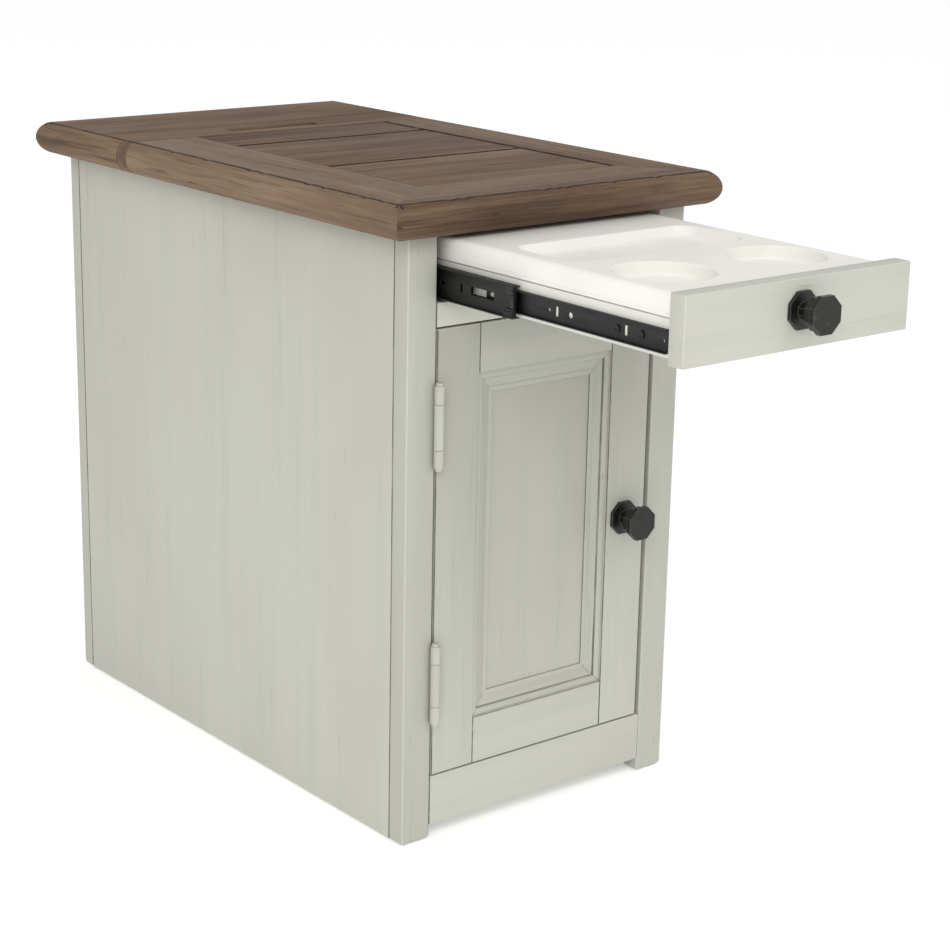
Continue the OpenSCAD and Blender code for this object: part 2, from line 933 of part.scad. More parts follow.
// cover with two blind outlets and two blind charging ports
module charging_face()
  color([0.1, 0.1, 0.1])
    translate([0, well_y0 + block_set + block_d / 2, well_z + block_h])
      difference() {
        translate([-block_w / 2 + face_edge, -block_d / 2 + face_edge, 0])
          linear_extrude(face_t)
            round_rect(block_w - 2 * face_edge, block_d - 2 * face_edge, block_r - 1);
        for (x = outlet_xs) {
          for (dx = [-blade_dx, blade_dx])
            span([x + dx - 1, -2, 1], [x + dx + 1, 6, face_t + 1]);
          translate([x, -8, 1])
            cylinder(r = earth_r, h = face_t, $fn = 32);
        }
        for (y = port_ys)
          span([port_x, y, 1], [port_x + port_w, y + port_h, face_t + 1]);
      }

module cord_grommet()
  color(black)
    difference() {
      union() {
        translate([0, yb + grommet_lip_t, cord_z])
          rotate([90, 0, 0])
            cylinder(r = cord_r + grommet_wall, h = back_post_d + grommet_lip_t, $fn = 64);
        translate([0, yb + grommet_lip_t, cord_z])
          rotate([90, 0, 0])
            cylinder(r = cord_r + grommet_wall + grommet_lip, h = grommet_lip_t, $fn = 64);
      }
      translate([0, yb + grommet_lip_t + 1, cord_z])
        rotate([90, 0, 0])
          cylinder(r = cord_r, h = back_post_d + grommet_lip_t + 2, $fn = 64);
    }

post_front_left();
post_front_right();
post_back_left();
post_back_right();
side_panel_left();
side_panel_right();
back_panel();
back_rail();
bottom_rail();
middle_rail();
cupboard_floor();
shelf();
shelf_cleats();
dust_panel();
well_wall();
top_cleats();
slide_spacers();
top_panel();
border_left();
border_right();
border_front();
cross_rail();
plank_back();
plank_middle();
plank_front();
fixed_slide_left();
fixed_slide_right();
door_hinge_fixed();
door_catch();
charging_block();
charging_face();
cord_grommet();
lid_hinge_fixed();
mid_slide_left();
mid_slide_right();
tray_front();
tray_side_left();
tray_side_right();
tray_back();
tray_bottom();
tray_insert();
tray_slide_left();
tray_slide_right();
slide_screws();
tray_knob();
door_stile_left();
door_stile_right();
door_rail_top();
door_rail_bottom();
door_panel();
moulding_sides();
moulding_ends();
door_knob();
door_hinge_moving();
strike_plate();
lid_board();
lid_hinge_moving();
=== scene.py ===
import json
import math
import random

import bmesh
import bpy
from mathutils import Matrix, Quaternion, Vector


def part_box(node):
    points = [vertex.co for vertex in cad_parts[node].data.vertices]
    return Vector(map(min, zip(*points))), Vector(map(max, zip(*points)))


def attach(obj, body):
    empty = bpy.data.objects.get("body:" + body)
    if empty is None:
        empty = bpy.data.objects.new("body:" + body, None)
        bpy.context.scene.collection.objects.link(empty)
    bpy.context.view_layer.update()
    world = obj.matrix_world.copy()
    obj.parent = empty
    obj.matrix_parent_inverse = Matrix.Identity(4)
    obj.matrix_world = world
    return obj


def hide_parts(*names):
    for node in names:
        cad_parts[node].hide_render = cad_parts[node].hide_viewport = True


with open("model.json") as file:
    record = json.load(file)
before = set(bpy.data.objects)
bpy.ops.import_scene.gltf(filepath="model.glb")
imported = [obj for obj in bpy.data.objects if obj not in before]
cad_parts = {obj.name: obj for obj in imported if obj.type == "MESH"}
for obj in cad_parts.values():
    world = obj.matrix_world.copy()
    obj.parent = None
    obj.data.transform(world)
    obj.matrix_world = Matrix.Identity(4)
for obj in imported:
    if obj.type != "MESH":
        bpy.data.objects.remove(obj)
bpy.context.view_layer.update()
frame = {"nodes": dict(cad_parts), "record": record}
bodyOfNode = {n: b for b, nodes in frame["record"]["behaviour"]["bodies"].items() for n in nodes}
print("frame loaded:", len(bodyOfNode), "nodes")


def addNode(tree, kind, settings=None, inputs=None):
    made = tree.nodes.new("ShaderNode" + kind)
    for name, value in (settings or {}).items():
        setattr(made, name, value)
    for name, value in (inputs or {}).items():
        if isinstance(value, bpy.types.NodeSocket):
            tree.links.new(value, made.inputs[name])
        else:
            made.inputs[name].default_value = value
    return made


def calc(tree, operation, a, b=0.0, clamp=False):
    return addNode(tree, "Math", {"operation": operation, "use_clamp": clamp}, {0: a, 1: b}).outputs[0]


def blend(tree, factor, a, b, kind="MIX"):
    return addNode(tree, "Mix", {"data_type": "RGBA", "blend_type": kind}, {0: factor, 6: a, 7: b}).outputs[2]


def rampOf(tree, factor, stops):
    made = addNode(tree, "ValToRGB", None, {"Fac": factor})
    elements = made.color_ramp.elements
    while len(elements) < len(stops):
        elements.new(0.5)
    for element, (place, colour) in zip(elements, stops):
        element.position = place
        element.color = colour
    return made.outputs["Color"]


def step(tree, factor, low, high, top=1.0):
    return addNode(tree, "MapRange", {"interpolation_type": "SMOOTHSTEP"},
                   {"Value": factor, "From Min": low, "From Max": high, "To Max": top}).outputs[0]


def noiseOf(tree, vector, stretch, detail=3.0, roughness=0.5, shift=(0, 0, 0)):
    placed = addNode(tree, "Mapping", None, {"Vector": vector, "Scale": stretch, "Location": shift})
    return addNode(tree, "TexNoise", None, {"Vector": placed.outputs[0], "Scale": 1.0, "Detail": detail,
                                           "Roughness": roughness}).outputs["Fac"]


def rangeOf(tree, value, low, high):
    return addNode(tree, "MapRange", None, {"Value": value, "To Min": low, "To Max": high}).outputs[0]


def link(tree, value, shader, socket):
    tree.links.new(value, shader.inputs[socket])


def addBump(tree, shader, strength, distance, height):
    bump = addNode(tree, "Bump", None, {"Strength": strength, "Distance": distance, "Height": height})
    link(tree, bump.outputs[0], shader, "Normal")


def valueOf(tree, name, kind="Fac"):
    return addNode(tree, "Attribute", {"attribute_name": name}).outputs[kind]


def newMaterial(name):
    material = bpy.data.materials.new(name)
    material.use_nodes = True
    tree = material.node_tree
    return material, tree, tree.nodes["Principled BSDF"]


def srgb(red, green, blue):
    def linear(value):
        value /= 255
        return value / 12.92 if value <= 0.04045 else ((value + 0.055) / 1.055) ** 2.4
    return (linear(red), linear(green), linear(blue), 1)


topWood = {
    "dark": srgb(80, 60, 44), "middle": srgb(117, 94, 74), "light": srgb(139, 117, 95),
    "red": srgb(101, 75, 61), "line": srgb(52, 39, 30), "glazeAndShading": srgb(44, 32, 24),
    "endGrain": srgb(76, 62, 51), "relief": 0.0010,
}


def makeTopWood():
    material, tree, shader = newMaterial("brownWood")
    grain = valueOf(tree, "grain", "Vector")
    broad = noiseOf(tree, grain, (1.8, 13, 13), 4, 0.55)
    streak = noiseOf(tree, grain, (5, 120, 120), 5, 0.66, (3, 1, 7))
    fine = noiseOf(tree, grain, (18, 700, 700), 3, 0.6, (9, 4, 2))
    warm = noiseOf(tree, grain, (3, 26, 26), 3, 0.5, (5, 7, 2))
    tone = calc(tree, "ADD", calc(tree, "MULTIPLY", broad, 0.42), calc(tree, "MULTIPLY", streak, 0.42))
    tone = calc(tree, "ADD", tone, calc(tree, "MULTIPLY", fine, 0.18))
    tone = calc(tree, "ADD", tone, valueOf(tree, "boardTone"))
    stops = [(0.40, topWood["dark"]), (0.53, topWood["middle"]), (0.68, topWood["light"])]
    colour = rampOf(tree, tone, stops)
    colour = blend(tree, step(tree, warm, 0.50, 0.74, 0.40), colour, topWood["red"])
    # open pores and growth lines left by wire brushing
    pores = step(tree, noiseOf(tree, grain, (11, 460, 460), 2, 0.5, (1, 8, 5)), 0.60, 0.72)
    lines = step(tree, noiseOf(tree, grain, (3.4, 85, 85), 4, 0.62, (6, 2, 3)), 0.60, 0.72)
    colour = blend(tree, calc(tree, "MULTIPLY", pores, 0.42), colour, topWood["line"])
    colour = blend(tree, calc(tree, "MULTIPLY", lines, 0.60), colour, topWood["line"])
    # short knocks along the grain, in patches
    knocks = step(tree, noiseOf(tree, grain, (34, 150, 150), 1, 0.5, (2, 5, 1)), 0.70, 0.75)
    patches = step(tree, noiseOf(tree, grain, (7, 12, 12), 1, 0.5, (8, 3, 4)), 0.54, 0.62)
    knocks = calc(tree, "MULTIPLY", knocks, patches)
    colour = blend(tree, calc(tree, "MULTIPLY", knocks, 0.75), colour, topWood["line"])
    colour = blend(tree, calc(tree, "MULTIPLY", valueOf(tree, "endFace"), 0.2), colour, topWood["endGrain"])
    # stain gathered in joints, and a painted shade line along the arrises of the top
    worn = step(tree, noiseOf(tree, grain, (45, 60, 60), 3, 0.6, (7, 7, 1)), 0.30, 0.52)
    stainedAndShaded = calc(tree, "MULTIPLY", valueOf(tree, "glazeAndShading"),
                   calc(tree, "ADD", calc(tree, "MULTIPLY", worn, 0.35), 0.65), True)
    colour = blend(tree, stainedAndShaded, colour, topWood["glazeAndShading"])
    link(tree, colour, shader, "Base Color")
    link(tree, rangeOf(tree, streak, 0.52, 0.80), shader, "Roughness")
    relief = calc(tree, "SUBTRACT", calc(tree, "ADD", streak, calc(tree, "MULTIPLY", fine, 0.3)),
                  calc(tree, "ADD", calc(tree, "MULTIPLY", pores, 0.5), knocks))
    addBump(tree, shader, 0.6, topWood["relief"], relief)
    shader.inputs["Specular IOR Level"].default_value = 0.25
    return material


oldPaint = {
    "base": srgb(192, 192, 182), "warm": srgb(184, 182, 171), "cool": srgb(183, 185, 177),
    "streak": srgb(161, 161, 150), "fleck": srgb(102, 96, 81), "glazeAndShading": srgb(84, 83, 71),
    "rubbed": srgb(212, 212, 206), "relief": 0.0004,
}


def makeOldPaint(name, base=oldPaint["base"], strength=1.0, flecks=0.18):
    material, tree, shader = newMaterial(name)
    grain = valueOf(tree, "grain", "Vector")
    blotch = noiseOf(tree, grain, (3, 6, 6), 3)
    drift = noiseOf(tree, grain, (1.4, 45, 45), 4, 0.6, (4, 4, 9))
    brush = noiseOf(tree, grain, (8, 340, 340), 4, 0.68, (7, 3, 2))
    colour = blend(tree, step(tree, blotch, 0.38, 0.68, 0.6 * strength), base, oldPaint["warm"])
    colour = blend(tree, step(tree, drift, 0.42, 0.64, 0.32 * strength), colour, oldPaint["cool"])
    # board tone; on the door it also carries a painted shadow towards its head
    shade = calc(tree, "ADD", valueOf(tree, "boardTone"), 1.0)
    grey = addNode(tree, "CombineColor", None, {"Red": shade, "Green": shade, "Blue": shade}).outputs[0]
    colour = blend(tree, 1.0, colour, grey, "MULTIPLY")
    thin = calc(tree, "MULTIPLY", step(tree, brush, 0.50, 0.74), step(tree, drift, 0.46, 0.70))
    colour = blend(tree, calc(tree, "MULTIPLY", thin, 0.6 * strength), colour, oldPaint["streak"])
    nicks = step(tree, noiseOf(tree, grain, (22, 150, 150), 2, 0.5, (3, 9, 5)), 0.735, 0.77)
    colour = blend(tree, calc(tree, "MULTIPLY", nicks, flecks), colour, oldPaint["fleck"])
    # stain in the joints, and painted shade in the door's joints on its right and bottom; paint rubbed pale
    # on free corners
    glazeAndShading = valueOf(tree, "glazeAndShading")
    broken = step(tree, noiseOf(tree, grain, (24, 60, 60), 3, 0.6), 0.28, 0.60)
    dark = calc(tree, "MULTIPLY", glazeAndShading, calc(tree, "ADD", calc(tree, "MULTIPLY", broken, 0.45), 0.55), True)
    pale = calc(tree, "MULTIPLY", glazeAndShading, -0.7, True)
    colour = blend(tree, dark, colour, oldPaint["glazeAndShading"])
    colour = blend(tree, pale, colour, oldPaint["rubbed"])
    link(tree, colour, shader, "Base Color")
    link(tree, rangeOf(tree, brush, 0.40, 0.62), shader, "Roughness")
    addBump(tree, shader, 0.4, oldPaint["relief"], brush)
    shader.inputs["Specular IOR Level"].default_value = 0.3
    return material


def makeMoulded(name, colour, roughness, grit=0.0002):
    material, tree, shader = newMaterial(name)
    place = addNode(tree, "TexCoord").outputs["Object"]
    cloud = noiseOf(tree, place, (14, 14, 14), 2)
    speck = noiseOf(tree, place, (900, 900, 900), 2)
    darker = tuple(c * 0.95 for c in colour[:3]) + (1,)
    link(tree, blend(tree, step(tree, cloud, 0.35, 0.7), colour, darker), shader, "Base Color")
    link(tree, rangeOf(tree, cloud, roughness - 0.05, roughness + 0.07), shader, "Roughness")
    addBump(tree, shader, 0.2, grit, speck)
    return material


def makeMetal(name, colour, worn, roughness, metallic):
    material, tree, shader = newMaterial(name)
    place = addNode(tree, "TexCoord").outputs["Object"]
    cloud = noiseOf(tree, place, (60, 60, 60), 4, 0.6)
    scuff = noiseOf(tree, place, (160, 60, 320), 4, 0.7, (1, 5, 2))
    # scuffs, and on the knobs a painted highlight along the eased edges, standing in for their glint
    rubbed = calc(tree, "MAXIMUM", step(tree, scuff, 0.56, 0.74, 0.55), valueOf(tree, "glazeAndShading"))
    link(tree, blend(tree, rubbed, colour, worn), shader, "Base Color")
    link(tree, rangeOf(tree, cloud, roughness - 0.1, roughness + 0.12), shader, "Roughness")
    addBump(tree, shader, 0.3, 0.0003, cloud)
    shader.inputs["Metallic"].default_value = metallic
    return material


brownWood = makeTopWood()
whitePaint = makeOldPaint("whitePaint")
mouldingPaint = makeOldPaint("mouldingPaint", strength=1.2, flecks=0.6)
boxPaint = makeOldPaint("boxPaint", srgb(228, 227, 220), strength=0.3, flecks=0.0)
insertPlastic = makeMoulded("insertPlastic", srgb(241, 239, 233), 0.42)
blackPlastic = makeMoulded("blackPlastic", srgb(24, 24, 22), 0.45)
palePlastic = makeMoulded("palePlastic", srgb(214, 214, 205), 0.5)
slideSteel = makeMetal("slideSteel", srgb(11, 11, 9), srgb(33, 32, 28), 0.48, 0.1)
knobIron = makeMetal("knobIron", srgb(25, 25, 22), srgb(74, 73, 66), 0.34, 0.3)
zincSteel = makeMetal("zincSteel", srgb(150, 150, 148), srgb(186, 186, 184), 0.35, 1.0)
print("finishes made")


def copyOfNode(name):
    bm = bmesh.new()
    bm.from_mesh(frame["nodes"][name].data)
    bmesh.ops.remove_doubles(bm, verts=bm.verts, dist=0.00001)
    bmesh.ops.dissolve_limit(bm, angle_limit=math.radians(0.8), verts=bm.verts, edges=bm.edges)
    return bm


def easeEdges(bm, width, minAngle=30, segments=2, wanted=None):
    sharp = [e for e in bm.edges
             if len(e.link_faces) == 2 and e.calc_face_angle(0) > math.radians(minAngle)
             and (wanted is None or wanted(e))]
    if not sharp:
        return []
    made = bmesh.ops.bevel(bm, geom=sharp, offset=width, offset_type="OFFSET", segments=segments,
                           profile=0.5, affect="EDGES", clamp_overlap=True, material=-1)
    return made["faces"]


def finishPiece(bm, name, material, nodes=(), body=None, axis=0, tone=0.0, slot=None,
                smoothAngle=40, turned=None, toneAt=None):
    random.seed(name)
    shift = Vector((random.uniform(-9, 9), random.uniform(-9, 9), random.uniform(-9, 9)))
    mesh = bpy.data.meshes.new(name)
    bm.normal_update()
    bm.to_mesh(mesh)
    bm.free()
    mesh.materials.append(material)
    mesh.shade_smooth()
    mesh.set_sharp_from_angle(angle=math.radians(smoothAngle))
    grain = mesh.attributes.new("grain", "FLOAT_VECTOR", "CORNER")
    ends = mesh.attributes.new("endFace", "FLOAT", "FACE")
    shade = mesh.attributes.new("boardTone", "FLOAT", "POINT")
    # the board's own tone, plus a painted shade where a shade function is given
    for vertex in mesh.vertices:
        shade.data[vertex.index].value = tone + (toneAt(vertex.co) if toneAt else 0)
    if "glazeAndShading" not in mesh.attributes:
        mesh.attributes.new("glazeAndShading", "FLOAT", "FACE")
    for face in mesh.polygons:
        along = turned(face) if turned else axis
        order = [along] + [i for i in range(3) if i != along]
        ends.data[face.index].value = abs(face.normal[along]) ** 3
        for corner in face.loop_indices:
            co = mesh.vertices[mesh.loops[corner].vertex_index].co
            grain.data[corner].vector = Vector(co[i] for i in order) + shift
    piece = bpy.data.objects.new(name, mesh)
    bpy.context.scene.collection.objects.link(piece)
    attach(piece, body or bodyOfNode[nodes[0]])
    if nodes:
        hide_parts(*nodes)
    return piece


boxesOfBody = {}
for nodeName, bodyName in bodyOfNode.items():
    boxesOfBody.setdefault(bodyName, []).append((nodeName, *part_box(nodeName)))


def touchesNeighbour(point, nodeName, reach=0.0008):
    for other, low, high in boxesOfBody[bodyOfNode[nodeName]]:
        if other != nodeName and all(low[i] - reach < point[i] < high[i] + reach for i in range(3)):
            return True
    return False


# a board with eased edges, dark in the joints it makes with its neighbours and pale where it is free
def makeBoard(nodeName, material, axis, ease=0.0009, minAngle=30, joint=0.9, free=-0.6, glazeAndShadeAt=None,
              stainAndShadeAt=None, cuts=(), **finish):
    bm = copyOfNode(nodeName)
    glazeAndShading = bm.faces.layers.float.new("glazeAndShading")
    for place, normal in cuts:
        bmesh.ops.bisect_plane(bm, geom=bm.verts[:] + bm.edges[:] + bm.faces[:], dist=0.00001,
                               plane_co=place, plane_no=normal)
    for face in easeEdges(bm, ease, minAngle):
        centre = face.calc_center_median()
        amount = joint if touchesNeighbour(centre, nodeName) else free
        if glazeAndShadeAt:
            given = glazeAndShadeAt(centre)
            amount = amount if given is None else given
        face[glazeAndShading] = amount
    if stainAndShadeAt:
        bm.normal_update()
        for face in bm.faces:
            given = stainAndShadeAt(face.calc_center_median(), face.normal)
            if given is not None:
                face[glazeAndShading] = given
    return finishPiece(bm, nodeName + "_board", material, [nodeName], axis=axis, **finish)


cabinet = {
    "upright": ["post_front_left", "post_front_right", "post_back_left", "post_back_right",
                "side_panel_left", "side_panel_right", "back_panel"],
    "across": ["back_rail", "bottom_rail", "middle_rail", "well_wall"],
    "deep": ["cupboard_floor", "shelf", "shelf_cleats", "dust_panel", "top_cleats", "slide_spacers"],
    "postTone": -0.095, "ease": 0.0009,
}
for group, axis in (("upright", 2), ("across", 0), ("deep", 1)):
    for nodeName in cabinet[group]:
        tone = cabinet["postTone"] if nodeName.startswith("post") else 0.0
        makeBoard(nodeName, whitePaint, axis, cabinet["ease"], tone=tone, slot="painted_wood")
print("cabinet boards made")


tableTop = {
    "boards": {"border_left": (1, 0.06), "border_right": (1, 0.01), "border_front": (0, 0.01),
               "cross_rail": (0, 0.0), "plank_back": (0, -0.03), "plank_middle": (0, -0.05),
               "plank_front": (0, 0.02), "lid_board": (0, 0.01), "top_panel": (0, -0.08)},
    "arris": 0.0010, "plankArris": 0.0008, "arrisShadeLine": 0.0016, "nose": 0.011, "sliceLength": 4,
    "stainAndShade": {"arris": 0.9, "joint": 1.0, "railEnd": 0.15, "underside": 0.5, "tightJoint": 0.12,
              "openMitre": 0.75, "closedMitre": 0.15},
    "frontDents": (-0.132, -0.116, -0.022, -0.007, 0.006, 0.122, 0.064),
    "leftDents": (-0.002, -0.081, -0.103, -0.177, -0.204, -0.269, -0.295, 0.06),
    "dentLength": 0.0035, "dentDepth": 0.0011, "openMitreTo": -0.262,
}
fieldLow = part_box("plank_front")[0]
crossLow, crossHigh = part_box("cross_rail")
flatLeft, flatRight = crossLow.x + tableTop["nose"], crossHigh.x - tableTop["nose"]
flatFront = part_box("border_front")[0].y + tableTop["nose"]
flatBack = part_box("lid_board")[1].y - tableTop["nose"]
topZ = crossHigh.z


def onArris(c, reach=0.0022):
    return c.z > topZ - 0.003 and (min(abs(c.x - flatLeft), abs(c.x - flatRight)) < reach
                                   or min(abs(c.y - flatFront), abs(c.y - flatBack)) < reach)


# painted shade: a dark line round the top along the arris, standing in for the shadow of a small step there,
# with some stain; stain in the planks' open joints
def topShadeLineAndJoints(c, normal):
    stainAndShade, inset = tableTop["stainAndShade"], 0.02
    if onArris(c, tableTop["arrisShadeLine"]):
        return stainAndShade["arris"]
    inField = flatLeft + inset < c.x < flatRight - inset and flatFront + inset < c.y < crossLow.y
    return stainAndShade["joint"] if inField and 0.3 < normal.z < 0.95 else None


# stain on the eased edges, by which joint they are in
def topGlaze(c):
    stainAndShade, near = tableTop["stainAndShade"], 0.003
    if abs(c.x) > flatRight + 0.0005 and c.y > crossLow.y - 0.002:
        return stainAndShade["railEnd"]
    if c.z < topZ - 0.027:
        return stainAndShade["underside"]
    if abs(c.x - fieldLow.x) < near or abs(c.y - fieldLow.y) < near:
        return stainAndShade["tightJoint"]
    if c.y < fieldLow.y:
        isOpen = c.x < 0 and (c.y < tableTop["openMitreTo"] or c.z < topZ - 0.002)
        return stainAndShade["openMitre"] if isOpen else stainAndShade["closedMitre"]
    return None


# small knocks pressed into the front and left edges
def dentArris(piece):
    near = 0.004
    for v in piece.data.vertices:
        if v.co.z < topZ - near or not onArris(v.co):
            continue
        for places, along, across, edge in ((tableTop["frontDents"], 0, 1, flatFront),
                                            (tableTop["leftDents"], 1, 0, flatLeft)):
            if abs(v.co[across] - edge) > near:
                continue
            deep = sum(math.exp(-((v.co[along] - p) / tableTop["dentLength"]) ** 2) for p in places)
            wave = 0.12 * math.sin(v.co[along] * 410) * math.sin(v.co[along] * 173 + 2)
            v.co.z -= tableTop["dentDepth"] * max(0, min(1.2, deep) + wave)


# the grain of the lid's two clamped ends runs front to back
def lidGrain(face):
    return 1 if abs(face.center.x) > flatRight - 0.001 and abs(face.normal.x) > 0.1 else 0


# cuts across an edge for the dents, and beside each edge for its painted shade line
sliceLength = tableTop["sliceLength"]
alongCuts = [((0, y / 1000, 0), (0, 1, 0)) for y in range(-317, 330, sliceLength)]
acrossCuts = [((x / 1000, 0, 0), (1, 0, 0)) for x in range(-187, 190, sliceLength)]
lineCuts = []
for side in (-tableTop["arrisShadeLine"], tableTop["arrisShadeLine"]):
    lineCuts += [((x + side, 0, 0), (1, 0, 0)) for x in (flatLeft, flatRight)]
    lineCuts += [((0, y + side, 0), (0, 1, 0)) for y in (flatFront, flatBack)]
for nodeName, (axis, tone) in tableTop["boards"].items():
    cuts = {"border_left": alongCuts, "border_front": acrossCuts}.get(nodeName, ())
    ease = tableTop["plankArris" if "plank" in nodeName else "arris"]
    piece = makeBoard(nodeName, brownWood, axis, ease, minAngle=18, free=0.25, glazeAndShadeAt=topGlaze,
                      stainAndShadeAt=topShadeLineAndJoints, cuts=lineCuts + list(cuts), tone=tone, slot="weathered_wood",
                      turned=lidGrain if nodeName == "lid_board" else None)
    if cuts:
        dentArris(piece)
print("table top made")


# the head and foot values set a painted shadow down the door; the stain values by side round the panel are
# partly painted shade
door = {
    "ease": 0.0008, "mouldingEase": 0.0006, "panelEase": 0.0005, "hingeEase": 0.0004,
    "tone": -0.01, "panelTone": -0.02, "headShade": -0.20, "footShade": 0.0,
    "stainAndShade": {"left": 0.10, "top": 0.12, "bottom": 0.65, "right": 0.95}, "mouldingShare": 0.85,
}
doorLow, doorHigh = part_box("door_stile_left")
openingLow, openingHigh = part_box("moulding_sides")


# dark in the joint round the panel, by side: stain, with painted shade making the right and bottom much
# darker than the lit left and top; None away from it
def doorGlazeAndShadow(c):
    reach = {"left": c.x - openingLow.x, "right": openingHigh.x - c.x,
             "bottom": c.z - openingLow.z, "top": openingHigh.z - c.z}
    side = min(reach, key=reach.get)
    return door["stainAndShade"][side] if reach[side] > -0.0015 else None


# painted shadow: the door is darker towards its head, where the drawn-out tray shades it
def doorTrayShadow(co):
    up = max(0, min(1, (co.z - doorLow.z) / (doorHigh.z - doorLow.z)))
    return door["footShade"] + (door["headShade"] - door["footShade"]) * up


# the steep parts of the moulding take a share of that darkening: painted shade in the moulding's steps,
# heaviest on the right and bottom, with some stain
def mouldingStepShade(c, normal):
    return door["mouldingShare"] * (doorGlazeAndShadow(c) or 0) if abs(normal.y) < 0.72 else None


for nodeName, axis in (("door_stile_left", 2), ("door_stile_right", 2),
                       ("door_rail_top", 0), ("door_rail_bottom", 0)):
    makeBoard(nodeName, whitePaint, axis, door["ease"], glazeAndShadeAt=doorGlazeAndShadow, tone=door["tone"], toneAt=doorTrayShadow,
              slot="painted_wood")
for nodeName, axis in (("moulding_sides", 2), ("moulding_ends", 0)):
    makeBoard(nodeName, mouldingPaint, axis, door["mouldingEase"], minAngle=40, glazeAndShadeAt=doorGlazeAndShadow,
              stainAndShadeAt=mouldingStepShade, tone=door["tone"], toneAt=doorTrayShadow, slot="painted_wood")
makeBoard("door_panel", whitePaint, 2, door["panelEase"], tone=door["panelTone"], toneAt=doorTrayShadow,
          slot="painted_wood")
for nodeName in ("door_hinge_fixed", "door_hinge_moving"):
    makeBoard(nodeName, whitePaint, 2, door["hingeEase"], minAngle=50, free=0.3, slot="painted_hinge")
print("door made")


tray = {"ease": 0.0008, "frontTone": 0.02}
makeBoard("tray_front", whitePaint, 0, tray["ease"], tone=tray["frontTone"], slot="painted_wood")
for nodeName, axis in (("tray_side_left", 1), ("tray_side_right", 1), ("tray_back", 0), ("tray_bottom", 1)):
    makeBoard(nodeName, boxPaint, axis, tray["ease"], joint=0.5, slot="tray_box")


insert = {
    "cupRadius": 0.045, "cupX": 0.0685, "cupY": -0.533, "cupDepth": 0.012, "cupTaper": 0.001,
    "lip": 0.0018, "foot": 0.0022, "recess": (-0.108, -0.4618, 0.108, -0.3738), "recessCorner": 0.018,
    "recessDepth": 0.009, "recessSlope": 0.005, "sideRound": 0.004, "flange": 0.0032, "endRound": 0.002,
    "corner": 0.003, "wall": 0.0025, "turns": 72,
}


def circlePoints(x, y, radius):
    count = insert["turns"]
    return [(x + radius * math.cos(2 * math.pi * i / count), y + radius * math.sin(2 * math.pi * i / count))
            for i in range(count)]


def roundedPoints(x0, y0, x1, y1, radius, steps=8):
    points = []
    for cx, cy, start in ((x1 - radius, y1 - radius, 0), (x0 + radius, y1 - radius, 90),
                          (x0 + radius, y0 + radius, 180), (x1 - radius, y0 + radius, 270)):
        for i in range(steps + 1):
            angle = math.radians(start + 90 * i / steps)
            points.append((cx + radius * math.cos(angle), cy + radius * math.sin(angle)))
    return points


def makeWall(bm, rings, floor=False):
    loops = [[bm.verts.new((x, y, z)) for x, y in points] for points, z in rings]
    for upper, lower in zip(loops, loops[1:]):
        for i in range(len(upper)):
            j = (i + 1) % len(upper)
            bm.faces.new((upper[i], upper[j], lower[j], lower[i]))
    if floor:
        bm.faces.new(loops[-1])
    return [bm.edges.get((a, b)) for a, b in zip(loops[0], loops[0][1:] + loops[0][:1])]


def quarter(steps=6):
    return [math.radians(90 * i / steps) for i in range(steps + 1)]


